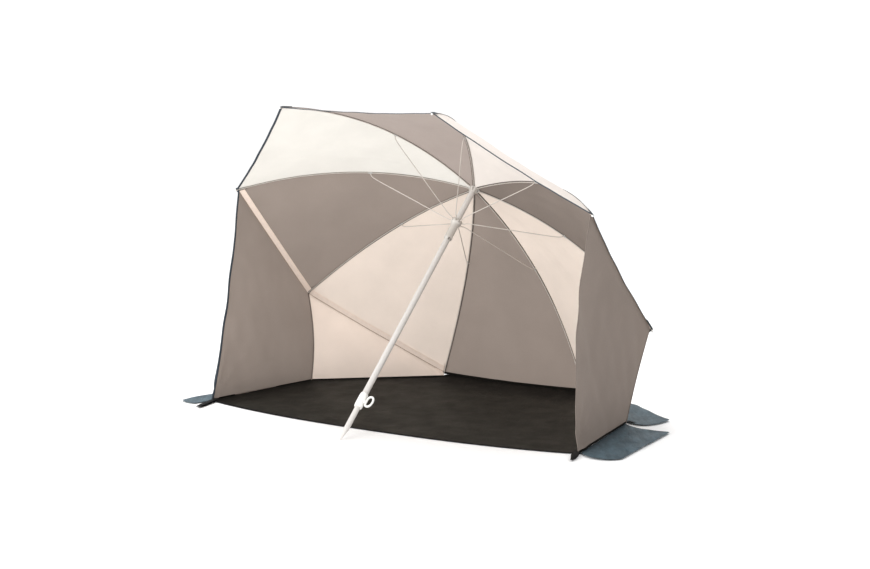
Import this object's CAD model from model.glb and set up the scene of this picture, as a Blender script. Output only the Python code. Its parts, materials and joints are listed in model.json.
"""Looks of the beach shelter: cloth, bindings, webbing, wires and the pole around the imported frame.

Every place comes from the frame: hinges and axes from its joints, corners from its solids. The
parasol is described by its eight ribs; panel k spans rib k and the next. Sides are "left" and
"right" for someone looking in, and the cloth's UVs are metres, so that weave and stitching keep
their real size.
"""

import json
import math

import bmesh
import bpy
from mathutils import Matrix, Vector, noise


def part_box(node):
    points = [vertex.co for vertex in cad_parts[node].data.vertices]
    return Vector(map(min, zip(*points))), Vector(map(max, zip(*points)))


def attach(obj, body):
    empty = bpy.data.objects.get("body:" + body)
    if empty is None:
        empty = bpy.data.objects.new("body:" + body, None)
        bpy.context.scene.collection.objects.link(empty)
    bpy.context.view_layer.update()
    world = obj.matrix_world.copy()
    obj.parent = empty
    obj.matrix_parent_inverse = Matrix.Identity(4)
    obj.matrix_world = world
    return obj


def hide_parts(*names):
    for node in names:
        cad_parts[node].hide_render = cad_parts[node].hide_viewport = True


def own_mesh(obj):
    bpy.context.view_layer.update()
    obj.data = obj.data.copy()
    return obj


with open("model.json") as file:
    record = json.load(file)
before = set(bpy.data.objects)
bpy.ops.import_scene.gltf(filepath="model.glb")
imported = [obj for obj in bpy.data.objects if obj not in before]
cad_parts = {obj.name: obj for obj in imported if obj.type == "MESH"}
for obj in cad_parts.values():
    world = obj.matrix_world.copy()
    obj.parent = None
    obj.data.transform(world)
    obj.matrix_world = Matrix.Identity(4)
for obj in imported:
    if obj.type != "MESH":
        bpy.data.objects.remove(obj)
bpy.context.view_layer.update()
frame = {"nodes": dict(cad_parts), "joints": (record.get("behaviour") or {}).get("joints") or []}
JOINTS = {joint["name"]: joint for joint in frame["joints"]}

# Parasol.
RIB_BULGE = 0.0905
TIP_LENGTH = 0.0082
RIB_WIRE = 0.0020
STRETCHER_WIRE = 0.0018
STRETCHER_JOINT = 0.4236

# Pole, measured along it, with 0 at the crown.
UPPER_END = -1.147
LOWER_TOP = -0.700
TAPER_START = -1.2560
SPIKE_END = -1.3155
COLLAR_TOP = -1.095
COLLAR_BOTTOM = -1.158
CROWN_RADIUS = 0.0205
RUNNER_HEIGHT = -0.1904
RUNNER_BOTTOM = -0.2805

# Cloth.
CLOTH_LIFT = 0.0031
CLOTH_START = 0.0065
CLOTH_END = 0.990
WALL_LINE = 0.982
BAND_LINE = 0.971
BAND_HALF = 0.0125
PANEL_SAG = 0.010
HEM_SCALLOP = 0.004
SEAM_GAP = 0.0009
BINDING_WIDTH = 0.011
BINDING_THICKNESS = 0.0024
TAPE_THICKNESS = 0.0016
TARP_THICKNESS = 0.0006
THREAD_PITCH = 0.0011
TARP_PITCH = 0.0030
STITCH_WIDTH = 0.0010
STITCH_PITCH = 0.0036

# Meshes: sharp edges in degrees, the flat share of a tape, and the UV's width of a wire.
TAPE_SHARP, WIRE_SHARP, MOULDED_SHARP = 60, 50, 35
TAPE_FLAT = 0.86
WIRE_UV = 0.01
ON_AXIS = 1e-7

# Radii of the tubes and of what slides on them, and the slots for wire ends.
TUBE_BORE, TUBE_RADIUS, LOWER_RADIUS = 0.0115, 0.0125, 0.0110
MOULDED_BORE = 0.0128
RUNNER_BORE = 0.0132
SLOT_WIDTH, SLOT_REACH = 0.0062, 0.06

RIBS = range(1, 9)
SIDES = {"left": -1, "right": 1}
CLOTH_OF = {1: "sunlit_taupe", 2: "warm_cream", 3: "shaded_taupe", 4: "canopy_cream",
            5: "taupe_fabric", 6: "canopy_cream", 7: "taupe_fabric", 8: "bright_cream"}
SIDE_PANEL = {"left": 7, "right": 3}
REAR_PANEL = {"left": 6, "right": 4}

# Height of the crown's centre over the middle of the hinges, as a share of their radius.
CROWN_RISE = math.tan(math.radians(22.8))


# ---------------------------------------------------------------- frame
def rib_joint(k):
    return JOINTS["canopy_fold" if k == 1 else f"rib_hinge_{k}"]


POLE_UP = -Vector(JOINTS["runner_slide"]["axis"])
HINGE = {k: Vector(rib_joint(k)["pos_m"]) for k in RIBS}
SIDEWAYS = {k: Vector(rib_joint(k)["axis"]) for k in RIBS}
OUTWARD = {k: SIDEWAYS[k].cross(POLE_UP).normalized() for k in RIBS}
CROWN = sum(HINGE.values(), Vector()) / 8
CROWN += POLE_UP * (HINGE[1] - CROWN).length * CROWN_RISE


def middle_of(node):
    low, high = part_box(node)
    return (low + high) / 2


def bulge_of(reach, k):
    """Direction in which rib k bulges, square to its chord."""
    bulge = reach.normalized().cross(SIDEWAYS[k])
    return bulge if bulge.dot(POLE_UP) > 0 else -bulge


def end_slope(reach, bulge):
    return (reach.normalized() - bulge * 4 * RIB_BULGE).normalized()


def rib_chord(k):
    """Vector from a rib's hinge to its tip, and the direction the rib bulges."""
    reach = middle_of(f"rib_tip_{k}") - HINGE[k]
    reach += end_slope(reach, bulge_of(reach, k)) * TIP_LENGTH / 2
    return reach, bulge_of(reach, k).normalized()


CHORD = {k: rib_chord(k) for k in RIBS}


def following(k):
    return k % 8 + 1


def rib_point(k, t, lift=0.0):
    reach, bulge = CHORD[k]
    return HINGE[k] + reach * t + bulge * (4 * RIB_BULGE * t * (1 - t) + lift)


def outline(node):
    """Ordered boundary of a flat node's upper face."""
    bm = bmesh.new()
    bm.from_mesh(frame["nodes"][node].data)
    bmesh.ops.remove_doubles(bm, verts=bm.verts, dist=1e-5)
    under = [face for face in bm.faces if face.normal.z < 0.9]
    bmesh.ops.delete(bm, geom=under, context="FACES")
    edges = {edge for edge in bm.edges if len(edge.link_faces) == 1}
    first = min(edges, key=lambda edge: tuple(edge.verts[0].co))
    start, here = first.verts
    points = [start.co.copy(), here.co.copy()]
    edges.discard(first)
    while here != start:
        step = next(edge for edge in here.link_edges if edge in edges)
        edges.discard(step)
        here = step.other_vert(here)
        points.append(here.co.copy())
    bm.free()
    return points[:-1]


def ground_corners():
    """Front, middle and rear corner of the groundsheet's right half."""
    right = [point for point in outline("groundsheet") if point.x > 0]
    front = max(right, key=lambda point: point.x)
    rear = max(right, key=lambda point: point.y)
    between = [p for p in right if front.y + 0.05 < p.y < rear.y - 0.05]
    return [Vector((p.x, p.y, 0)) for p in (front, between[0], rear)]


FRONT, MIDDLE, REAR = ground_corners()
FRONT_BOW = FRONT.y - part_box("groundsheet")[0].y


def on_side(point, side):
    return Vector((point.x * side, point.y, point.z))


# ---------------------------------------------------------------- mesh helpers
def smoothstep(low, high, x):
    x = min(max((x - low) / (high - low), 0.0), 1.0)
    return x * x * (3 - 2 * x)


def ripple(point, size, seed):
    """Smooth noise from -1 to 1 over features of a given size in metres."""
    return noise.noise(point / size + Vector((seed * 3.7, seed * 1.3, seed * 5.1)))


def new_bm():
    bm = bmesh.new()
    return bm, bm.loops.layers.uv.new("UVMap")


def shares(steps):
    """Even steps from 0 to 1."""
    return [i / steps for i in range(steps + 1)]


def circle(count):
    """Even angles round one turn."""
    return [math.tau * j / count for j in range(count)]


def mesh_of(name, bm):
    mesh = bpy.data.meshes.new(name)
    bm.to_mesh(mesh)
    bm.free()
    return mesh


def linked(name, data):
    made = bpy.data.objects.new(name, data)
    bpy.context.scene.collection.objects.link(made)
    return made


def sharpen(piece, degrees):
    piece.data.set_sharp_from_angle(angle=math.radians(degrees))


def new_piece(name, bm, body, slot, finish=None, sharp=None):
    """A piece on a body; its finish is the slot's own unless another is named."""
    piece = linked(name, mesh_of(name, bm))
    piece.data.materials.append(MATERIALS[finish or slot])
    piece.data.shade_smooth()
    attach(piece, body)
    if sharp:
        sharpen(piece, sharp)
    return piece


def grid_piece(name, surface, rows, columns, body, slot, finish, thickness=0.0):
    """Cloth from surface(u, v) -> (point, (x, y) on the flat cut in metres), with thickness if any."""
    bm, uv = new_bm()
    made, flat = [], {}
    for v in shares(rows):
        line = []
        for u in shares(columns):
            point, cut = surface(u, v)
            vert = bm.verts.new(point)
            flat[vert] = cut
            line.append(vert)
        made.append(line)
    for low, high in zip(made, made[1:]):
        for a, b, c, d in zip(low, low[1:], high[1:], high):
            face = bm.faces.new((a, b, c, d))
            for loop in face.loops:
                loop[uv].uv = flat[loop.vert]
    piece = new_piece(name, bm, body, slot, finish)
    if thickness:
        solid = piece.modifiers.new("thickness", "SOLIDIFY")
        solid.thickness = thickness
        solid.offset = 0.0
        apply_modifiers(piece)
    return piece


def apply_modifiers(piece):
    graph = bpy.context.evaluated_depsgraph_get()
    mesh = bpy.data.meshes.new_from_object(piece.evaluated_get(graph))
    piece.modifiers.clear()
    piece.data = mesh
    mesh.shade_smooth()
    sharpen(piece, WIRE_SHARP)


def run_of(path):
    """Direction at each point of a path, and the length up to it."""
    ahead, lengths, total = [], [], 0.0
    for i, point in enumerate(path):
        ahead.append(path[min(i + 1, len(path) - 1)] - path[max(i - 1, 0)])
        total += (point - path[i - 1]).length if i else 0.0
        lengths.append(total)
    return ahead, lengths


def skin(bm, uv, rings, columns, lengths):
    """Faces from ring to ring, and a cap at each end; columns holds the UV's X round a ring."""
    count = len(rings[0])
    for i in range(len(rings) - 1):
        for j in range(count):
            k = (j + 1) % count
            face = bm.faces.new((rings[i][j], rings[i][k], rings[i + 1][k], rings[i + 1][j]))
            spots = ((j, i), (j + 1, i), (j + 1, i + 1), (j, i + 1))
            for loop, (column, row) in zip(face.loops, spots):
                loop[uv].uv = (columns[column], lengths[row])
    bm.faces.new(rings[0][::-1])
    bm.faces.new(rings[-1])
    bmesh.ops.recalc_face_normals(bm, faces=bm.faces)


def strip_piece(name, path, across, width, thickness, body, slot, finish, taper=None):
    """Tape along a path; across[i] is the direction of its width, taper[i] its share of the width."""
    bm, uv = new_bm()
    half, deep = width / 2, thickness / 2
    flat = half * TAPE_FLAT
    profile = [(-half, 0), (-flat, deep), (flat, deep), (half, 0), (flat, -deep), (-flat, -deep)]
    ahead, lengths = run_of(path)
    rings = []
    for i, point in enumerate(path):
        side = across[i].normalized()
        up = ahead[i].cross(side).normalized()
        share = taper[i] if taper else 1.0
        rings.append([bm.verts.new(point + side * x * share + up * z) for x, z in profile])
    skin(bm, uv, rings, [x for x, _ in profile + profile[:1]], lengths)
    return new_piece(name, bm, body, slot, finish, TAPE_SHARP)


def wire_piece(name, path, radii, side, body, slot, sides=14):
    """Wire or bar along a path near one plane with normal side; radii[i] is across it and in it."""
    bm, uv = new_bm()
    run, lengths = run_of(path)
    rings = []
    for point, ahead, (wide, deep) in zip(path, run, radii):
        ahead = ahead.normalized()
        up = ahead.cross(side).normalized()
        level = up.cross(ahead).normalized()
        rings.append([bm.verts.new(point + level * math.cos(turn) * wide + up * math.sin(turn) * deep)
                      for turn in circle(sides)])
    skin(bm, uv, rings, [share * WIRE_UV for share in shares(sides)], lengths)
    return new_piece(name, bm, body, slot, sharp=WIRE_SHARP)


def axis_frame(origin, along, sideways):
    """Matrix with Z along a direction and X near another."""
    z = along.normalized()
    x = (sideways - z * sideways.dot(z)).normalized()
    y = z.cross(x)
    return Matrix.Translation(origin) @ Matrix((x, y, z)).transposed().to_4x4()


POLE_FRAME = axis_frame(CROWN, POLE_UP, Vector((1, 0, 0)))


def turned(bm, profile, matrix, segments):
    """Adds a closed (radius, height) profile turned about the matrix's Z."""
    rings = []
    for radius, height in profile:
        spots = [Vector((radius * math.cos(turn), radius * math.sin(turn), height))
                 for turn in (circle(segments) if radius > ON_AXIS else [0.0])]
        rings.append([bm.verts.new(matrix @ spot) for spot in spots])
    faces = []
    closing = rings[1:] + ([rings[0]] if profile[0][0] > ON_AXIS else [])
    for low, high in zip(rings, closing):
        for j in range(segments):
            k = (j + 1) % segments
            corners = [low[j % len(low)], low[k % len(low)], high[k % len(high)], high[j % len(high)]]
            unique = list(dict.fromkeys(corners))
            if len(unique) > 2:
                faces.append(bm.faces.new(unique))
    bmesh.ops.recalc_face_normals(bm, faces=faces)


def turned_piece(name, profile, matrix, body, slot, finish=None, segments=64):
    bm = bmesh.new()
    turned(bm, profile, matrix, segments)
    return new_piece(name, bm, body, slot, finish, MOULDED_SHARP)


def box_into(bm, low, high, matrix):
    size = Vector(high) - Vector(low)
    centre = (Vector(high) + Vector(low)) / 2
    placed = matrix @ Matrix.Translation(centre) @ Matrix.Diagonal((*size, 1.0))
    bmesh.ops.create_cube(bm, size=1.0, matrix=placed)


def cut_slots(piece, start, low, high):
    """Cuts eight radial slots for wire ends, from a radius outwards and between two heights."""
    bm = bmesh.new()
    for k in RIBS:
        turn = axis_frame(CROWN, POLE_UP, OUTWARD[k])
        box_into(bm, (start, -SLOT_WIDTH / 2, low), (SLOT_REACH, SLOT_WIDTH / 2, high), turn)
    cutter = linked("cutter", mesh_of("cutter", bm))
    boolean = piece.modifiers.new("cut", "BOOLEAN")
    boolean.object = cutter
    boolean.operation = "DIFFERENCE"
    bpy.context.view_layer.update()
    apply_modifiers(piece)
    bpy.data.objects.remove(cutter)


def soften(piece, width, segments):
    bevel = piece.modifiers.new("edges", "BEVEL")
    bevel.width = width
    bevel.segments = segments
    bevel.limit_method = "ANGLE"
    bevel.angle_limit = math.radians(40)
    apply_modifiers(piece)


# ---------------------------------------------------------------- materials
def shade(colour, factor):
    return tuple(channel * factor for channel in colour)


class Recipe:
    """A material in the making: its nodes, and the colour mixed so far."""

    def __init__(self, name, colour, roughness, specular=0.5, sheen=0.0):
        self.made = bpy.data.materials.new(name)
        self.made.use_nodes = True
        self.tree = self.made.node_tree
        self.shader = self.tree.nodes["Principled BSDF"]
        self.shader.inputs["Base Color"].default_value = (*colour, 1.0)
        self.shader.inputs["Roughness"].default_value = roughness
        self.shader.inputs["Specular IOR Level"].default_value = specular
        self.shader.inputs["Sheen Weight"].default_value = sheen
        self.colour = self.base = colour
        self.roughness = roughness

    def node(self, kind, vector=None, **values):
        """A new node with its settings and constants, fed by a vector if one is given."""
        node = self.tree.nodes.new(kind)
        for key, value in values.items():
            if hasattr(node, key):
                setattr(node, key, value)
            else:
                node.inputs[key.replace("_", " ")].default_value = value
        if vector is not None:
            self.link(vector, node.inputs[0 if kind == "ShaderNodeSeparateXYZ" else "Vector"])
        return node

    def link(self, source, socket):
        self.tree.links.new(source, socket)

    def cut(self):
        return self.node("ShaderNodeUVMap", uv_map="UVMap").outputs[0]

    def space(self):
        return self.node("ShaderNodeTexCoord").outputs["Object"]

    def calc(self, operation, a, b=0.0):
        node = self.node("ShaderNodeMath", operation=operation)
        for socket, value in zip(node.inputs, (a, b)):
            if isinstance(value, (int, float)):
                socket.default_value = value
            else:
                self.link(value, socket)
        return node.outputs[0]

    def weighted(self, a, x, b, y):
        """Socket with a * x + b * y."""
        return self.calc("ADD", self.calc("MULTIPLY", a, x), self.calc("MULTIPLY", b, y))

    def mixed(self, share, first, second):
        """Colour mix; share and the colours are sockets or plain values."""
        node = self.node("ShaderNodeMix", data_type="RGBA")
        for index, value in ((0, share), (6, first), (7, second)):
            socket = node.inputs[index]
            if isinstance(value, bpy.types.NodeSocket):
                self.link(value, socket)
            else:
                socket.default_value = value if isinstance(value, float) else (*value, 1.0)
        return node.outputs[2]

    def ranged(self, value, low, high, to_low, to_high):
        node = self.node("ShaderNodeMapRange", From_Min=low, From_Max=high, To_Min=to_low, To_Max=to_high)
        self.link(value, node.inputs["Value"])
        return node.outputs[0]

    def noise(self, vector, scale, detail=3.0, roughness=0.55):
        return self.node("ShaderNodeTexNoise", vector, Scale=scale, Detail=detail,
                         Roughness=roughness).outputs["Fac"]

    def waves(self, vector, axis, pitch, distortion=0.0):
        """Bands with a given pitch in metres along the X or Y of a vector."""
        return self.node("ShaderNodeTexWave", vector, wave_type="BANDS", bands_direction=axis,
                         Scale=math.tau / 20.0 / pitch, Distortion=distortion).outputs["Fac"]

    def tint(self, value, low, high, first, last, colour):
        """Mixes in a colour, or a shade of the material's own, as value goes from low to high."""
        if isinstance(colour, float):
            colour = shade(self.colour, colour)
        self.base = self.mixed(self.ranged(value, low, high, first, last), self.base, colour)

    def finish(self, spread, smoother, rougher, height, strength, distance):
        """Links the colour, a roughness that varies with spread, and bumps."""
        self.link(self.base, self.shader.inputs["Base Color"])
        rough = self.ranged(spread, 0.2, 0.8, self.roughness - smoother, self.roughness + rougher)
        self.link(rough, self.shader.inputs["Roughness"])
        bump = self.node("ShaderNodeBump", Strength=strength, Distance=distance)
        self.link(height, bump.inputs["Height"])
        self.link(bump.outputs["Normal"], self.shader.inputs["Normal"])
        return self.made


def woven_material(name, colour, roughness, sheen, glow, grain):
    """Plain-weave cloth: threads, slubs and fine creases; glow is the share of light let through."""
    cloth = Recipe(name, colour, roughness, 0.25, sheen)
    cut, space = cloth.cut(), cloth.space()
    threads = cloth.calc("MULTIPLY", cloth.waves(cut, "X", THREAD_PITCH, 0.15),
                         cloth.waves(cut, "Y", THREAD_PITCH, 0.15))
    slub = cloth.noise(cut, 160.0, 2.0)
    cloth.base = shade(colour, 0.93)
    cloth.tint(cloth.noise(space, 5.0, 4.0), 0.25, 0.75, 0.0, 1.0, 1.05)
    cloth.tint(slub, 0.3, 0.7, 0.0, grain, 0.72)
    cloth.tint(threads, 0.0, 1.0, grain, 0.0, 0.60)
    through = cloth.node("ShaderNodeBsdfTranslucent")
    cloth.link(cloth.base, through.inputs["Color"])
    blend = cloth.node("ShaderNodeMixShader")
    blend.inputs[0].default_value = glow
    cloth.link(cloth.shader.outputs[0], blend.inputs[1])
    cloth.link(through.outputs[0], blend.inputs[2])
    cloth.link(blend.outputs[0], cloth.tree.nodes["Material Output"].inputs["Surface"])
    height = cloth.weighted(threads, 0.12, cloth.noise(space, 14.0, 5.0, 0.5), 3.0)
    return cloth.finish(slub, 0.07, 0.07, height, 0.55, 0.0012)


def tarp_material(name, colour, roughness, streak, specular, dark=(), crumple=1.0):
    """Woven polyethylene: tape weave, streaks, creases and a low sheen.

    dark lists (x, y, start, end): the cloth darkens as x * X + y * Y on its cut goes from start to end.
    """
    tarp = Recipe(name, colour, roughness, specular)
    cut, space = tarp.cut(), tarp.space()
    tapes = tarp.calc("ADD", tarp.waves(cut, "X", TARP_PITCH, 0.2), tarp.waves(cut, "Y", TARP_PITCH, 0.2))
    stretched = tarp.node("ShaderNodeMapping", cut, Scale=(1.0, 9.0, 1.0)).outputs[0]
    blotch = tarp.noise(space, 9.0, 4.0)
    tarp.tint(tarp.noise(stretched, 3.0, 5.0), 0.3, 0.7, 0.0, streak, 1.9)
    tarp.tint(blotch, 0.35, 0.75, 0.0, 0.45, 0.62)
    tarp.tint(tarp.noise(space, 38.0, 6.0, 0.65), 0.52, 0.70, 0.0, 0.35 * crumple - 0.30, 1.7)
    if crumple > 1.0:
        space = tarp.node("ShaderNodeMapping", space, vector_type="TEXTURE", Rotation=(0.0, 0.0, 0.58),
                          Scale=(1.0, 4.5, 1.0)).outputs[0]
        tarp.tint(tarp.noise(space, 34.0, 3.0, 0.7), 0.40, 0.60, 0.60, 0.0, 0.45)
    tarp.tint(tapes, 0.0, 2.0, 0.22, 0.0, 0.5)
    parts = tarp.node("ShaderNodeSeparateXYZ", cut).outputs
    for x, y, start, end in dark:
        tarp.tint(tarp.weighted(parts[0], x, parts[1], y), start, end, 0.0, 0.80, 0.15)
    height = tarp.weighted(tapes, 0.10, tarp.noise(space, 26.0, 6.0, 0.6), 2.6 * crumple)
    return tarp.finish(blotch, 0.10, 0.12, height, 0.7, 0.0016)


def tape_material(name, colour, thread, roughness, stitch_at, twill=0.0016, lit=0.0, edge=None):
    """Binding, band or webbing: fine ribs across, rows of stitches, and thread-coloured past an edge.

    lit stands for light that comes through it.
    """
    tape = Recipe(name, colour, roughness, 0.15)
    glow = tape.shader.inputs["Emission Color"]
    glow.default_value = (*colour, 1.0)
    tape.shader.inputs["Emission Strength"].default_value = lit
    cut = tape.cut()
    x = tape.node("ShaderNodeSeparateXYZ", cut).outputs[0]
    ribs = tape.waves(cut, "DIAGONAL", twill, 0.1)
    rows = None
    for place in stitch_at:
        near = tape.calc("ABSOLUTE", tape.calc("SUBTRACT", x, place))
        row = tape.calc("LESS_THAN", near, STITCH_WIDTH / 2)
        rows = row if rows is None else tape.calc("MAXIMUM", rows, row)
    dash = tape.calc("GREATER_THAN", tape.waves(cut, "Y", STITCH_PITCH), 0.35)
    stitch = tape.calc("MULTIPLY", rows, dash)
    wear = tape.noise(cut, 60.0, 3.0)
    tape.tint(wear, 0.3, 0.7, 0.0, 0.5, 0.8)
    tape.tint(ribs, 0.0, 1.0, 0.25, 0.0, 0.6)
    tape.base = tape.mixed(stitch, tape.base, thread)
    if edge is not None:
        past = tape.calc("GREATER_THAN", x, edge)
        tape.base = tape.mixed(past, tape.base, shade(thread, 0.5))
        tape.link(tape.mixed(past, colour, shade(thread, 0.5)), glow)
    return tape.finish(wear, 0.06, 0.08, tape.weighted(ribs, 0.3, stitch, 0.8), 0.6, 0.0006)


def coated_material(name, colour, roughness, grime, scratch=0.0):
    """Powder coat or moulded plastic: orange peel, faint grime and a few drawn scratches."""
    coat = Recipe(name, colour, roughness)
    space = coat.space()
    patches = coat.noise(space, 22.0, 5.0)
    coat.tint(patches, 0.45, 0.85, 0.0, 0.55, grime)
    if scratch:
        drawn = coat.node("ShaderNodeMapping", space, Scale=(260.0, 260.0, 9.0)).outputs[0]
        coat.tint(coat.noise(drawn, 1.0, 2.0), 0.66, 0.80, 0.0, scratch, shade(grime, 0.55))
    return coat.finish(patches, 0.08, 0.12, coat.noise(space, 900.0, 1.0), 0.25, 0.0002)


TAUPE = (0.312, 0.259, 0.225)
CREAM = (0.900, 0.765, 0.667)
BAND = (0.840, 0.705, 0.610)
BLACK_TARP = (0.0235, 0.0218, 0.0180)
SLATE_TARP = (0.080, 0.122, 0.148)
SLATE_EDGE = (0.060, 0.075, 0.092)
BLACK = (0.006, 0.006, 0.006)
WHITE = (0.640, 0.615, 0.590)
WIRE = (0.60, 0.55, 0.50)


def dark_towards(first, second, reach):
    """Darkening towards the line through two corners of the groundsheet, for tarp_material."""
    line = (second - first).normalized()
    outward = Vector((line.y, -line.x, 0))
    if outward.dot(first) < 0:
        outward.negate()
    edge = outward.dot(first)
    return outward.x, outward.y, edge - reach, edge


LEFT_CORNERS = [on_side(point, SIDES["left"]) for point in (FRONT, MIDDLE, REAR)]
REAR_DARK = (0.0, 1.0, 0.03, 0.19)
GROUND_DARK = [dark_towards(*LEFT_CORNERS[:2], 0.20), dark_towards(*LEFT_CORNERS[1:], 0.085),
               dark_towards(FRONT, MIDDLE, 0.04), dark_towards(MIDDLE, REAR, 0.085), REAR_DARK]
FLAP_DARK = [(1.0, 0.0, 0.050, -0.010)]

# Finish, name, colour, roughness, sheen, glow and grain.
WOVEN = [
    ("taupe_fabric", "taupe_cloth", TAUPE, 0.82, 0.08, 0.41, 0.10),
    ("sunlit_taupe", "sunlit_taupe_cloth", (0.405, 0.343, 0.310), 0.82, 0.08, 0.43, 0.10),
    ("shaded_taupe", "shaded_taupe_cloth", shade(TAUPE, 0.79), 0.82, 0.02, 0.25, 0.10),
    ("cream_fabric", "cream_cloth", CREAM, 0.84, 0.10, 0.34, 0.05),
    ("canopy_cream", "canopy_cream_cloth", (0.838, 0.728, 0.640), 0.84, 0.05, 0.30, 0.05),
    ("bright_cream", "bright_cream_cloth", (0.722, 0.695, 0.645), 0.84, 0.05, 0.55, 0.05),
    ("warm_cream", "warm_cream_cloth", (0.810, 0.748, 0.697), 0.84, 0.05, 0.40, 0.05),
]
MATERIALS = {finish: woven_material(*recipe) for finish, *recipe in WOVEN}
# Name, colour, thread, roughness, places of the stitches, and pitch of the ribs, light and edge if any.
TAPES = {
    "band_fabric": ("band_tape", BAND, (0.60, 0.42, 0.30), 0.85, (-0.0100,), 0.0016, 0.26, 0.0108),
    "cream_band": ("cream_band_tape", shade(CREAM, 0.90), (0.62, 0.42, 0.29), 0.85, (-0.0100,), 0.0016, 0.13,
                   0.0100),
    "webbing": ("black_webbing", BLACK, (0.016, 0.016, 0.016), 0.75, (-0.009, 0.009), 0.0022),
    "edge_binding": ("slate_binding", SLATE_EDGE, (0.10, 0.12, 0.14), 0.70, (-0.0030,)),
    "taupe_seam": ("taupe_seam_tape", shade(TAUPE, 0.72), (0.20, 0.17, 0.15), 0.80, (-0.003, 0.003)),
    "dark_seam": ("dark_seam_tape", shade(TAUPE, 0.50), (0.12, 0.11, 0.10), 0.80, (0.0,)),
}
# Name, colour, roughness, colour of the grime, and strength of the scratches if any.
COATS = {
    "white_steel": ("white_powder_coat", WHITE, 0.34, (0.66, 0.64, 0.60), 0.25),
    "white_plastic": ("white_moulding", (0.86, 0.86, 0.84), 0.42, (0.74, 0.72, 0.68)),
    "wire_grey": ("grey_moulding", (0.60, 0.57, 0.53), 0.45, (0.50, 0.47, 0.43)),
    "wire": ("coated_wire", WIRE, 0.38, (0.42, 0.38, 0.34), 0.3),
    "dark_plastic": ("dark_moulding", (0.21, 0.19, 0.17), 0.45, (0.26, 0.24, 0.22)),
    "bare_steel": ("worn_steel", (0.55, 0.54, 0.52), 0.38, (0.40, 0.38, 0.35), 0.4),
}
MATERIALS.update({finish: tape_material(*recipe) for finish, recipe in TAPES.items()})
MATERIALS.update({finish: coated_material(*recipe) for finish, recipe in COATS.items()})
MATERIALS["ground_fabric"] = tarp_material("black_tarp", BLACK_TARP, 0.62, 0.45, 0.08, GROUND_DARK)
MATERIALS["rear_lip"] = tarp_material("black_lip", shade(BLACK_TARP, 0.4), 0.75, 0.20, 0.04)
MATERIALS["flap_fabric"] = tarp_material("slate_tarp", SLATE_TARP, 0.56, 0.12, 0.22, FLAP_DARK, crumple=2.2)


# ---------------------------------------------------------------- canopy
def fabric_normal(k, t):
    a, b = rib_point(k, t), rib_point(following(k), t)
    ahead = (rib_point(k, t + 0.001) + rib_point(following(k), t + 0.001)) / 2
    normal = (ahead - (a + b) / 2).cross(b - a).normalized()
    return normal if normal.dot(POLE_UP) > 0 else -normal


def canopy_point(k, u, t, lift=CLOTH_LIFT):
    """Cloth between rib k (u = 0) and the next (u = 1), t of the way to the rib tips."""
    a, b = rib_point(k, t), rib_point(following(k), t)
    sag = PANEL_SAG * (4 * u * (1 - u)) * t * t
    return a + (b - a) * u + fabric_normal(k, t) * (lift - sag)


def width_at(k, t):
    return (rib_point(following(k), t) - rib_point(k, t)).length


def hump(x):
    """0 at both ends of 0 to 1, and 1 in the middle."""
    return math.sin(math.pi * min(max(x, 0.0), 1.0))


def cloth_point(k, u, t, lift=CLOTH_LIFT):
    """Canopy surface with the ripples of its cloth; the ribs hold it still."""
    pull = ripple(Vector((u * width_at(k, 1) * 6.0, t * 0.9, 0.0)), 0.55, k) * 0.0032
    pull *= smoothstep(0.05, 0.5, t)
    broad = ripple(canopy_point(k, u, t), 0.22, k + 9) * (0.0040 - 0.0028 * smoothstep(0.75, 0.97, t))
    return canopy_point(k, u, t, lift) + fabric_normal(k, t) * (pull + broad) * hump(u) ** 0.7


def canopy_flat(k, u, t):
    return (u - 0.5) * width_at(k, t), t


def hem_share(k, u):
    """How far the hem reaches along the ribs: scalloped, and down to the ground at the back."""
    reach = -0.005 if k == 5 else HEM_SCALLOP
    return CLOTH_END - reach * 4 * u * (1 - u)


def make_panel(k):
    width = width_at(k, 1)

    def surface(u, v):
        t = CLOTH_START + (hem_share(k, u) - CLOTH_START) * v
        inset = SEAM_GAP / max(width * t, 0.01)
        u = inset + u * (1 - 2 * inset)
        return cloth_point(k, u, t), canopy_flat(k, u, t)

    slot = "taupe_fabric" if k % 2 else "cream_fabric"
    piece = grid_piece(f"canopy_cloth_{k}", surface, 44, 26, f"panel_{k}", slot, CLOTH_OF[k])
    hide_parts(f"canopy_panel_{k}")
    gather(piece)


def gather(piece):
    """Gathers a piece to the middle plane of its panel as the parasol folds."""
    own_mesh(piece)


def make_hem(k):
    path, across = [], []
    for share in shares(30):
        u = 0.004 + 0.992 * share
        t = hem_share(k, u)
        path.append(cloth_point(k, u, t - 0.004))
        across.append(cloth_point(k, u, t) - cloth_point(k, u, t - 0.01))
    slot, finish = ("ground_fabric", "rear_lip") if k == 5 else ("flap_fabric", "edge_binding")
    piece = strip_piece(f"hem_binding_{k}", path, across, BINDING_WIDTH, BINDING_THICKNESS, f"panel_{k}",
                        slot, finish)
    gather(piece)


def make_band(k):
    """Strip inside the canopy, sewn over the line where a wall joins it."""
    def surface(u, v):
        t = BAND_LINE + (v - 0.5) * 2 * BAND_HALF
        u = 0.010 + 0.980 * u
        ruffle = 0.0007 * ripple(Vector((u * 3.0, t, k)), 0.09, 4)
        point = cloth_point(k, u, t, CLOTH_LIFT - 0.0040 + ruffle)
        return point, (t - BAND_LINE, canopy_flat(k, u, t)[0])

    finish = "band_fabric" if k in SIDE_PANEL.values() else "cream_band"
    piece = grid_piece(f"band_{k}", surface, 4, 40, f"panel_{k}", "band_fabric", finish, 0.0009)
    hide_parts(f"attachment_band_{k}")
    gather(piece)


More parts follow.
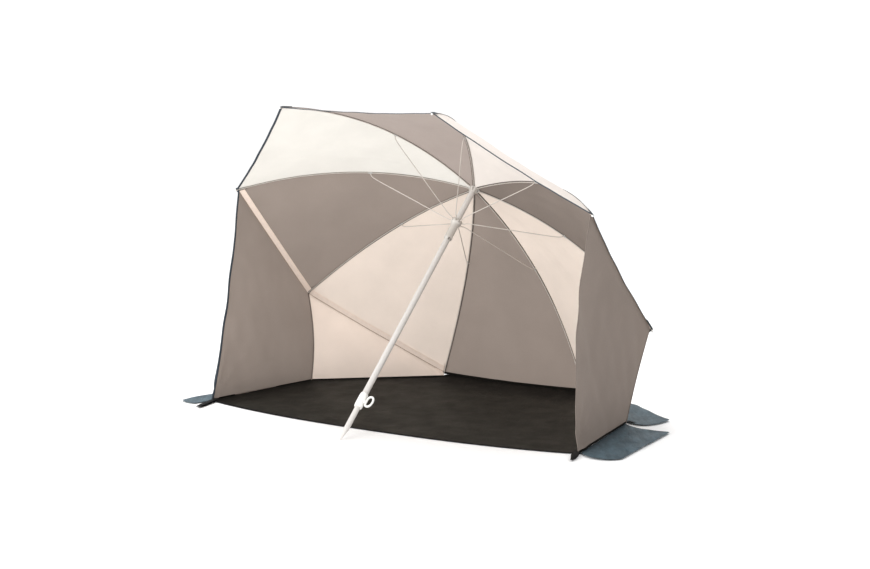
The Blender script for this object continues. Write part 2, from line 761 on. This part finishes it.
# Name, start and length along the rib, steps, lift, shift sideways, width, thickness, slot and finish.
RIB_TAPES = [
    ("rib_seam", CLOTH_START, CLOTH_END - CLOTH_START, 40, 0.0010, 0.0, 0.009, 0.0010,
     "taupe_fabric", "taupe_seam"),
    ("rib_hem", CLOTH_START, CLOTH_END - CLOTH_START, 40, -0.0008, 0.0045, 0.0040, 0.0008,
     "taupe_fabric", "dark_seam"),
    ("tip_pocket", CLOTH_END - 0.045, 0.047, 6, 0.0020, 0.0, 0.020, 0.0014,
     "flap_fabric", "edge_binding"),
]


def make_seams():
    """Felled seams over the ribs with a dark edge inside, and a pocket patch at each tip."""
    for k in RIBS:
        for name, start, length, steps, lift, shift, width, thickness, slot, finish in RIB_TAPES:
            path = [rib_point(k, start + length * share, CLOTH_LIFT + lift) - SIDEWAYS[k] * shift
                    for share in shares(steps)]
            strip_piece(f"{name}_{k}", path, [SIDEWAYS[k]] * len(path), width, thickness, f"rib_{k}", slot,
                        finish)


# ---------------------------------------------------------------- walls
def wall_ends(word, kind):
    """Panel that a wall hangs from, and its feet from front to rear."""
    panels, feet = (SIDE_PANEL, (FRONT, MIDDLE)) if kind == "side" else (REAR_PANEL, (MIDDLE, REAR))
    return panels[word], *(on_side(foot, SIDES[word]) for foot in feet)


def wall_top(word, kind, a):
    """Top edge of a wall, a from 0 at its front end to 1 at its rear end, tucked under the ribs."""
    panel = wall_ends(word, kind)[0]
    last = 0.992 if kind == "rear" else 1.0
    along_panel = 0.004 + (last - 0.004) * a
    u = along_panel if SIDES[word] > 0 else 1 - along_panel
    near_rib = max(1 - along_panel / 0.06, (along_panel - 0.94) / 0.06, 0.0)
    return cloth_point(panel, u, WALL_LINE, CLOTH_LIFT - 0.0020 - 0.0040 * min(near_rib, 1.0))


FRONT_EDGE_BOW = {"left": 0.012, "right": 0.034}
CORNER_PULL = {"left": 0.026, "right": 0.004}


def corner_folds(u, v, wide, tall, seed):
    """Tension folds that fan out from the front foot of a wall."""
    x, y = u * wide + 0.012, (1 - v) * tall + 0.012
    radius, turn = math.hypot(x, y), math.atan2(x, y)
    strength = smoothstep(0.02, 0.12, radius) * math.exp(-radius / 0.16) * smoothstep(0.0, 0.2, turn)
    return strength * math.sin(turn * 17.0 + seed + 1.6 * ripple(Vector((x, y, 0)), 0.1, seed))


def make_wall(word, kind):
    side = SIDES[word]
    panel, foot_front, foot_rear = wall_ends(word, kind)
    stand = Vector((-0.003 * side, 0, 0.0028))
    seed = panel + (0 if kind == "side" else 20)
    top_front, top_rear = wall_top(word, kind, 0), wall_top(word, kind, 1)
    wide, tall = (foot_rear - foot_front).length, (top_front - foot_front).length
    shared = 0.0 if kind == "rear" else 1.0

    def surface(u, v):
        top = wall_top(word, kind, u)
        foot = foot_front.lerp(foot_rear, u) + stand
        point = top.lerp(foot, v)
        hanging = hump(v)
        loose = smoothstep(0.0, 0.12, abs(u - shared))
        if kind == "side":
            bow = FRONT_EDGE_BOW[word] * hanging ** 0.8 * (1 - smoothstep(0.0, 0.85, u))
            point += Vector((-side * bow, bow * 0.10, 0))
        pulled = CORNER_PULL[word] * hanging * (1 - smoothstep(0.0, 0.55, abs(u - shared)))
        point += Vector((-side * pulled, -pulled * 0.35, 0))
        slack = 0.008 * hanging * hump(u)
        lean = Vector((point.x * 0.4, point.y * 2.2 + point.z * 0.9, point.z * 0.35))
        fold = ripple(lean, 0.16, seed) * 0.0075 * hanging ** 0.7 * loose
        if kind == "side":
            fold += 0.0115 * corner_folds(u, v, wide, tall, seed)
            pleat = Vector((u * wide, v * tall * 0.16, 0.0))
            fold += ripple(pleat, 0.055, seed + 5) * 0.0032 * hanging ** 0.5 * loose
        point += Vector((side * (fold - slack), 0, 0))
        return point, (u * wide, v * (top - foot).length)

    slot = "taupe_fabric" if kind == "side" else "cream_fabric"
    name = f"{kind}_wall_{word}"
    finish = "shaded_taupe" if name == "side_wall_right" else slot
    piece = grid_piece(f"{kind}_wall_cloth_{word}", surface, 44, 36, name, slot, finish)
    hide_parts(name)
    gather(piece)

    label = "edge" if kind == "side" else "seam"
    path = [surface(0.0, v)[0] for v in shares(36)]
    across = [surface(0.02, v)[0] - point for v, point in zip(shares(36), path)]
    tape = (0.008, 0.0024, name, "taupe_fabric", "taupe_seam")
    if name == "side_wall_left":
        tape = (0.012, 0.0024, name, "flap_fabric", "edge_binding")
    strip = strip_piece(f"{kind}_wall_{label}_{word}", path, across, *tape)
    gather(strip)
    path = [surface(u, 0.998)[0] + Vector((side * 0.0008, 0, 0.0025)) for u in shares(30)]
    strip = strip_piece(f"{kind}_wall_foot_{word}", path, [Vector((0, 0, 1))] * len(path), 0.009, 0.0026,
                        name, "ground_fabric", "rear_lip")
    gather(strip)


# ---------------------------------------------------------------- ground
def half_width(y):
    """Half of the groundsheet's width, y from its front corners back."""
    a, b = (FRONT, MIDDLE) if y <= MIDDLE.y else (MIDDLE, REAR)
    return a.x + (b.x - a.x) * (y - a.y) / (b.y - a.y)


def make_groundsheet():
    """Tarp on the ground; it bows out at the front and turns up to the canopy's hem at the back."""

    def surface(u, v):
        across = 2 * u - 1
        front = FRONT.y - FRONT_BOW * (1 - abs(across) ** 2.5)
        y = front + (REAR.y - front) * v
        x = across * half_width(max(y, FRONT.y))
        inner = smoothstep(0.0, 0.10, v) * (1 - abs(across) ** 6)
        long_wave = ripple(Vector((x * 0.30, y, 0)), 0.12, 3) * 0.5 + 0.5
        short_wave = ripple(Vector((x * 0.7, y, 0)), 0.06, 5) * 0.5 + 0.5
        z = 0.0012 + inner * (0.0065 * long_wave + 0.0030 * short_wave)
        z += smoothstep(0.93, 1.0, abs(across)) * 0.004
        rise = smoothstep(0.955, 1.0, v) * (1 - abs(across) ** 40)
        hem = cloth_point(5, 1 - u, hem_share(5, 1 - u), CLOTH_LIFT - 0.0030)
        hem.z = max(hem.z, 0.004)
        return Vector((x, y, z)).lerp(hem, rise), (x, y)

    piece = grid_piece("groundsheet_cloth", surface, 84, 90, "groundsheet", "ground_fabric",
                       "ground_fabric", TARP_THICKNESS)
    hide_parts("groundsheet")
    gather(piece)
    area = (FRONT.x + MIDDLE.x) * (MIDDLE.y - FRONT.y) + (MIDDLE.x + REAR.x) * (REAR.y - MIDDLE.y)
    area += 2 * FRONT.x * FRONT_BOW * 0.71
    path = [surface(u, 0.004)[0] + Vector((0, 0, 0.0007)) for u in shares(60)]
    across = [surface(u, 0.03)[0] - surface(u, 0.0)[0] for u in shares(60)]
    hem = strip_piece("groundsheet_hem", path, across, 0.018, TAPE_THICKNESS, "groundsheet",
                      "ground_fabric", "webbing")
    gather(hem)


def flap_curves(node, start, end):
    """Inner edge along the wall's foot from start to end, and outer edge."""
    loop = outline(node)

    def nearest(target):
        return min(range(len(loop)), key=lambda i: (loop[i] - target).length)

    first, last = nearest(start), nearest(end)
    count = len(loop)
    forward = [loop[(first + i) % count] for i in range((last - first) % count + 1)]
    backward = [loop[(first - i) % count] for i in range((first - last) % count + 1)]
    inner, outer = sorted((forward, backward), key=len)
    return inner, outer


def along(points, share):
    lengths = [(b - a).length for a, b in zip(points, points[1:])]
    left = share * sum(lengths)
    for (a, b), length in zip(zip(points, points[1:]), lengths):
        if left <= length:
            return a.lerp(b, left / length)
        left -= length
    return points[-1].copy()


def rounded_path(points, reach=0.014, steps=5):
    """The same path with its inner corners rounded off."""
    made = [points[0]]
    for before, corner, after in zip(points, points[1:], points[2:]):
        start = corner + (before - corner) * min(reach / (before - corner).length, 0.45)
        end = corner + (after - corner) * min(reach / (after - corner).length, 0.45)
        for i in range(steps + 1):
            t = i / steps
            made.append(start.lerp(corner, t).lerp(corner.lerp(end, t), t))
    made.append(points[-1])
    return made


def make_flap(word, place):
    side = SIDES[word]
    node = f"sand_flap_{place}_{word}"
    kind = "side" if place == "front" else "rear"
    panel, start, end = wall_ends(word, kind)
    inner, outer = flap_curves(node, start, end)
    outer = rounded_path(outer)
    seed = 31 + 7 * (place == "rear") + 3 * (side > 0)

    def surface(u, v):
        a, b = along(inner, u), along(outer, u)
        a.x -= side * 0.006
        point = a.lerp(b, v)
        buckle = ripple(Vector((point.x, point.y * 0.6, 0)), 0.075, seed) * 0.5 + 0.5
        swell = ripple(point, 0.16, seed + 2) * 0.5 + 0.5
        point.z = 0.0010 + (0.006 * buckle * smoothstep(0.0, 0.35, v) + 0.0045 * swell * v)
        return point, ((b - a).length * v, u * (inner[-1] - inner[0]).length)

    piece = grid_piece(f"sand_flap_cloth_{place}_{word}", surface, 24, 60, node, "flap_fabric",
                       "flap_fabric", TARP_THICKNESS)
    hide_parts(node)
    gather(piece)


def make_peg_loop(word, side):
    """Webbing folded into a loop at a front corner."""
    node = f"peg_loop_front_{word}"
    corner = on_side(FRONT, side)
    far = max(outline(node), key=lambda p: (p - corner).length)
    start = corner + Vector((-0.016 * side, 0.012, 0))
    heading = (Vector((far.x, far.y, 0)) - start)
    length = heading.length * 0.98
    heading.normalize()
    narrowing = 0.55 if word == "right" else 0.1
    path, taper = [], []
    for turn in shares(26):
        reach = math.sin(math.pi * turn)
        height = 0.0035 + 0.0065 * (1 - math.cos(math.pi * turn)) / 2 + 0.008 * reach ** 2 * (turn - 0.5)
        path.append(start + heading * length * reach + Vector((0, 0, max(height, 0.0022))))
        taper.append(1.0 - narrowing * smoothstep(0.5, 1.0, reach))
    across = [Vector((-heading.y, heading.x, 0))] * len(path)
    piece = strip_piece(f"peg_webbing_{word}", path, across, 0.025, TAPE_THICKNESS, "groundsheet",
                        "webbing", "webbing", taper)
    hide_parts(node)
    gather(piece)


def make_middle_strap(word, side):
    """Short strap that sticks out at a middle corner."""
    middle = on_side(MIDDLE, side)
    out = Vector((side, 0.12, 0)).normalized()
    path = [middle + out * (0.006 + 0.052 * share) + Vector((0, 0, 0.0105 - 0.006 * share))
            for share in shares(8)]
    strap = strip_piece(f"middle_strap_{word}", path, [Vector((-out.y, out.x, 0))] * len(path), 0.020,
                        TAPE_THICKNESS, "groundsheet", "webbing", "webbing")
    gather(strap)


# ---------------------------------------------------------------- hard parts
def make_ribs():
    """Bent wires with a cap on each tip."""
    end = 1.0 - 0.5 * TIP_LENGTH
    cap = [(0, 0.0012), (0.0018, 0.0009), (0.0030, 0.0), (0.0036, -0.0015), (0.0036, -0.0045),
           (0.0031, -0.0052), (0.0029, -TIP_LENGTH), (0.0022, -TIP_LENGTH), (0.0022, -0.003), (0, -0.003)]
    for k in RIBS:
        path = [rib_point(k, -0.003 + (end + 0.003) * share) for share in shares(48)]
        rib = wire_piece(f"rib_wire_{k}", path, [(RIB_WIRE, RIB_WIRE)] * len(path), SIDEWAYS[k], f"rib_{k}",
                         "wire")
        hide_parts(f"rib_{k}")
        place = axis_frame(rib_point(k, 1.0), end_slope(*CHORD[k]), SIDEWAYS[k])
        tip = turned_piece(f"rib_cap_{k}", cap, place, f"rib_{k}", "white_plastic", segments=24)
        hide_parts(f"rib_tip_{k}")
        make_clip(k)


def make_clip(k):
    """Sheet-metal clip on the rib with the rivet that holds the stretcher."""
    joint = rib_point(k, STRETCHER_JOINT)
    ahead = (rib_point(k, STRETCHER_JOINT + 0.01) - joint).normalized()
    bm = bmesh.new()
    sleeve = [(0.0023, -0.009), (0.0030, -0.009), (0.0030, 0.009), (0.0023, 0.009)]
    turned(bm, sleeve, axis_frame(joint, ahead, SIDEWAYS[k]), 20)
    rivet = [(0, -0.001), (0.0011, -0.001), (0.0011, 0.0040), (0.0019, 0.0042), (0.0016, 0.0052), (0, 0.0055)]
    turned(bm, rivet, axis_frame(joint - SIDEWAYS[k] * 0.0030, -SIDEWAYS[k], ahead), 16)
    new_piece(f"rib_clip_{k}", bm, f"rib_{k}", "wire", "bare_steel", MOULDED_SHARP)


def make_stretchers():
    """Wires that start in the runner's slots, run beside their ribs and hook over at the rivets."""
    drop = -POLE_UP * 0.011
    for k in RIBS:
        start = Vector(JOINTS[f"stretcher_hinge_{k}"]["pos_m"])
        end = rib_point(k, STRETCHER_JOINT)
        side = -SIDEWAYS[k] * 0.0052
        reach = end - start
        knots = [start - reach * 0.004, start + reach * 0.04, start + reach * 0.10 + side,
                 start + reach * 0.50 + side + drop * 0.5, start + reach * 0.92 + side + drop, end + side]
        path = smooth_path(knots, 14)
        near = [smoothstep(0.975, 0.99, share) for share in shares(len(path) - 1)]
        radii = [(STRETCHER_WIRE * (1 - 0.45 * flat), STRETCHER_WIRE * (1 + 0.5 * flat)) for flat in near]
        wire = wire_piece(f"stretcher_wire_{k}", path, radii, SIDEWAYS[k], f"stretcher_{k}", "wire")
        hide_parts(f"stretcher_{k}")


def smooth_path(knots, per_span):
    """Catmull-Rom curve through the knots."""
    made = []
    padded = [knots[0] * 2 - knots[1], *knots, knots[-1] * 2 - knots[-2]]
    for p0, p1, p2, p3 in zip(padded, padded[1:], padded[2:], padded[3:]):
        for t in shares(per_span)[:-1]:
            made.append(0.5 * (2 * p1 + (p2 - p0) * t + (2 * p0 - 5 * p1 + 4 * p2 - p3) * t * t
                               + (3 * p1 - p0 - 3 * p2 + p3) * t ** 3))
    made.append(knots[-1].copy())
    return made


def make_pole():
    upper = [(TUBE_BORE, UPPER_END), (TUBE_RADIUS, UPPER_END), (TUBE_RADIUS, 0.0), (TUBE_BORE, 0.0)]
    tube = turned_piece("pole_upper_tube", upper, POLE_FRAME, "pole", "white_steel")
    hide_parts("pole_upper")
    path, radii = [POLE_FRAME @ Vector((0, 0, LOWER_TOP))], [(LOWER_RADIUS, LOWER_RADIUS)]
    for share in shares(30):
        path.append(POLE_FRAME @ Vector((0, 0, TAPER_START + (SPIKE_END - TAPER_START) * share)))
        wide = LOWER_RADIUS * (1 - 0.66 * smoothstep(0.10, 1.0, share))
        deep = LOWER_RADIUS * (1 - 0.74 * smoothstep(0.02, 0.98, share))
        radii.append((wide, deep))
    spike = wire_piece("pole_lower_tube", path, radii, Vector((1, 0, 0)), "lower_pole", "white_steel",
                       40)
    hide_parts("pole_lower")


def ring_into(bm, centre, across, along_pole, half_wide, half_tall, bar):
    """Closed bar around a finger hole, squarer on the side of the pole."""
    normal = across.cross(along_pole).normalized()
    spots = []
    for turn in circle(48):
        x, y = math.cos(turn), math.sin(turn)
        power = 1.0 if x > 0 else 0.65
        x, y = (math.copysign(abs(value) ** power, value) for value in (x, y))
        spots.append(centre + across * half_wide * x + along_pole * half_tall * y)
    rings = []
    for before, spot, after in zip(spots[-1:] + spots[:-1], spots, spots[1:] + spots[:1]):
        out = (after - before).normalized().cross(normal)
        rings.append([bm.verts.new(spot + (normal * math.cos(turn) + out * math.sin(turn)) * bar)
                      for turn in circle(18)])
    for low, high in zip(rings, rings[1:] + rings[:1]):
        for a, b, c, d in zip(low, low[1:] + low[:1], high[1:] + high[:1], high):
            bm.faces.new((a, b, c, d))
    bmesh.ops.recalc_face_normals(bm, faces=bm.faces)


def make_clamp():
    """Collar at the end of the upper tube, and the screw with its finger ring."""
    step = UPPER_END - 0.0003
    upper = [(MOULDED_BORE, 0), (0.0156, 0), (0.0162, 0.0010), (0.0162, 0.0075), (0.0170, 0.0085)]
    lower = [(0.0170, 0.0085), (0.0165, 0.0075), (0.0165, 0.0010), (0.0158, 0), (0.0113, 0)]
    profile = [(radius, COLLAR_TOP - depth) for radius, depth in upper]
    profile += [(radius, COLLAR_BOTTOM + height) for radius, height in lower]
    profile += [(0.0113, step), (MOULDED_BORE, step)]
    bm = bmesh.new()
    turned(bm, profile, POLE_FRAME, 64)
    screw = JOINTS["clamp_turn"]
    axis = Vector(screw["axis"])
    at = CROWN + POLE_UP * (Vector(screw["pos_m"]) - CROWN).dot(POLE_UP)
    place = axis_frame(at, axis, POLE_UP)
    boss = [(0.0042, 0.0155), (0.0088, 0.0150), (0.0082, 0.0190), (0.0074, 0.0205), (0.0042, 0.0205)]
    turned(bm, boss, place, 40)
    collar = new_piece("clamp_collar_shell", bm, "pole", "white_plastic", sharp=MOULDED_SHARP)
    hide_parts("clamp_collar")

    bm = bmesh.new()
    ring_into(bm, at + axis * 0.0395, axis, POLE_UP, 0.0145, 0.0225, 0.0042)
    stem = [(0, 0.0175), (0.0036, 0.0175), (0.0037, 0.0225), (0.0052, 0.0240), (0.0046, 0.0275), (0, 0.0285)]
    turned(bm, stem, place, 24)
    eye = new_piece("clamp_eye", bm, "clamp_screw", "white_plastic")
    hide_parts("clamp_screw")


def make_crown():
    """Slotted hub under a low cap, with the steel ring that the ribs swing on."""
    top, bottom, wide = 0.004, -0.022, CROWN_RADIUS
    profile = [(MOULDED_BORE, top), (wide - 0.0012, top), (wide, top - 0.0012), (wide, top - 0.0165),
               (wide - 0.0012, top - 0.0185), (0.0152, bottom + 0.001), (0.0146, bottom),
               (MOULDED_BORE, bottom)]
    crown = turned_piece("rib_crown_moulding", profile, POLE_FRAME, "pole", "white_plastic", "wire_grey")
    cut_slots(crown, 0.0140, bottom - 0.01, top + 0.01)
    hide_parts("rib_crown")
    arm = HINGE[1] - CROWN
    height = arm.dot(POLE_UP)
    circle_piece("crown_pivot_ring", height, (arm - POLE_UP * height).length, "pole")
    cap = [(0, 0.0055), (0.0255, 0.0112), (0.0272, 0.0132), (0.0268, 0.0158), (0.0215, 0.0222),
           (0.0200, 0.0226), (0.0120, 0.0262), (0.0095, 0.0280), (0.0050, 0.0288), (0, 0.0290)]
    piece = turned_piece("top_cap_moulding", cap, POLE_FRAME, "pole", "white_plastic")
    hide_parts("top_cap")


def circle_piece(name, height, radius, body):
    """Steel pivot ring threaded through the wire ends."""
    bar = 0.0007
    profile = [(radius + bar * math.cos(turn), height + bar * math.sin(turn)) for turn in circle(10)]
    turned_piece(name, profile, POLE_FRAME, body, "wire", "bare_steel")


def make_runner():
    """Slotted sleeve that carries the stretchers, and the thumb latch under it."""
    level, bottom = RUNNER_HEIGHT, RUNNER_BOTTOM
    profile = [(RUNNER_BORE, level + 0.0095), (0.0205, level + 0.0095), (0.0225, level + 0.0075),
               (0.0225, level - 0.0075), (0.0210, level - 0.0090), (0.0165, level - 0.0135),
               (0.0162, level - 0.030), (0.0165, level - 0.034), (0.0165, bottom + 0.012),
               (0.0174, bottom + 0.010), (0.0174, bottom + 0.001), (0.0162, bottom), (RUNNER_BORE, bottom)]
    runner = turned_piece("runner_moulding", profile, POLE_FRAME, "runner", "white_plastic", "wire_grey")
    cut_slots(runner, 0.0152, level - 0.0045, level + 0.03)
    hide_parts("runner")
    circle_piece("runner_pivot_ring", level, 0.0185, "runner")
    joint = JOINTS["latch_press"]
    at = Vector(joint["pos_m"])
    out = Vector(joint["axis"]).cross(POLE_UP).normalized()
    if (at - CROWN).dot(out) < 0:
        out.negate()
    bm = bmesh.new()
    box_into(bm, (-0.0021, -0.0028, -0.0112), (0.0024, 0.0028, -0.0012), axis_frame(at, POLE_UP, out))
    latch = new_piece("latch_lever", bm, "runner_latch", "dark_plastic")
    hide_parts("runner_latch")
    soften(latch, 0.0007, 3)


# ---------------------------------------------------------------- studio
def area_light(name, place, target, size, power):
    data = bpy.data.lights.new(name, "AREA")
    data.shape = "DISK"
    data.size = size
    data.energy = power
    lamp = linked(name, data)
    lamp.location = place
    lamp.rotation_euler = (Vector(target) - Vector(place)).to_track_quat("-Z", "Y").to_euler()


def make_studio():
    """Pale floor, an even white sky and three soft lamps."""
    bpy.context.scene.view_settings.view_transform = "Standard"
    bm = bmesh.new()
    bmesh.ops.create_grid(bm, x_segments=1, y_segments=1, size=30)
    floor = linked("floor", mesh_of("floor", bm))
    floor.location.z = -0.0006
    floor.data.materials.append(Recipe("pale_floor", (0.98, 0.98, 0.98), 0.9).made)
    world = bpy.data.worlds.new("studio")
    bpy.context.scene.world = world
    world.use_nodes = True
    sky = world.node_tree.nodes["Background"]
    sky.inputs[0].default_value = (1.0, 1.0, 1.0, 1.0)
    sky.inputs[1].default_value = 1.06
    area_light("key", (-1.0, -7.0, 2.8), (0, -0.2, 0.5), 3.0, 205)
    area_light("fill", (-4.5, -5.0, 2.0), (0, -0.2, 0.5), 3.0, 55)
    area_light("top", (-1.5, 0.3, 5.0), (-0.3, -0.4, 0.7), 2.5, 120)


def make_camera():
    """From the front right, a little above the hem."""
    data = bpy.data.cameras.new("camera")
    camera = linked("camera", data)
    camera.location = (4.3349, -6.9454, 1.7104)
    camera.rotation_euler = (math.pi / 2 - 0.14854, 0.0, 0.57816)
    data.lens = 80.965
    data.sensor_width = 36.0
    bpy.context.scene.camera = camera


def main():
    make_camera()
    make_studio()
    for k in RIBS:
        make_panel(k)
        make_hem(k)
    for k in (3, 4, 6, 7):
        make_band(k)
    make_seams()
    for word in SIDES:
        for kind in ("side", "rear"):
            make_wall(word, kind)
    make_groundsheet()
    for word in SIDES:
        for place in ("front", "rear"):
            make_flap(word, place)
    for word, side in SIDES.items():
        make_peg_loop(word, side)
        make_middle_strap(word, side)
    make_ribs()
    make_stretchers()
    make_pole()
    make_clamp()
    make_crown()
    make_runner()


main()
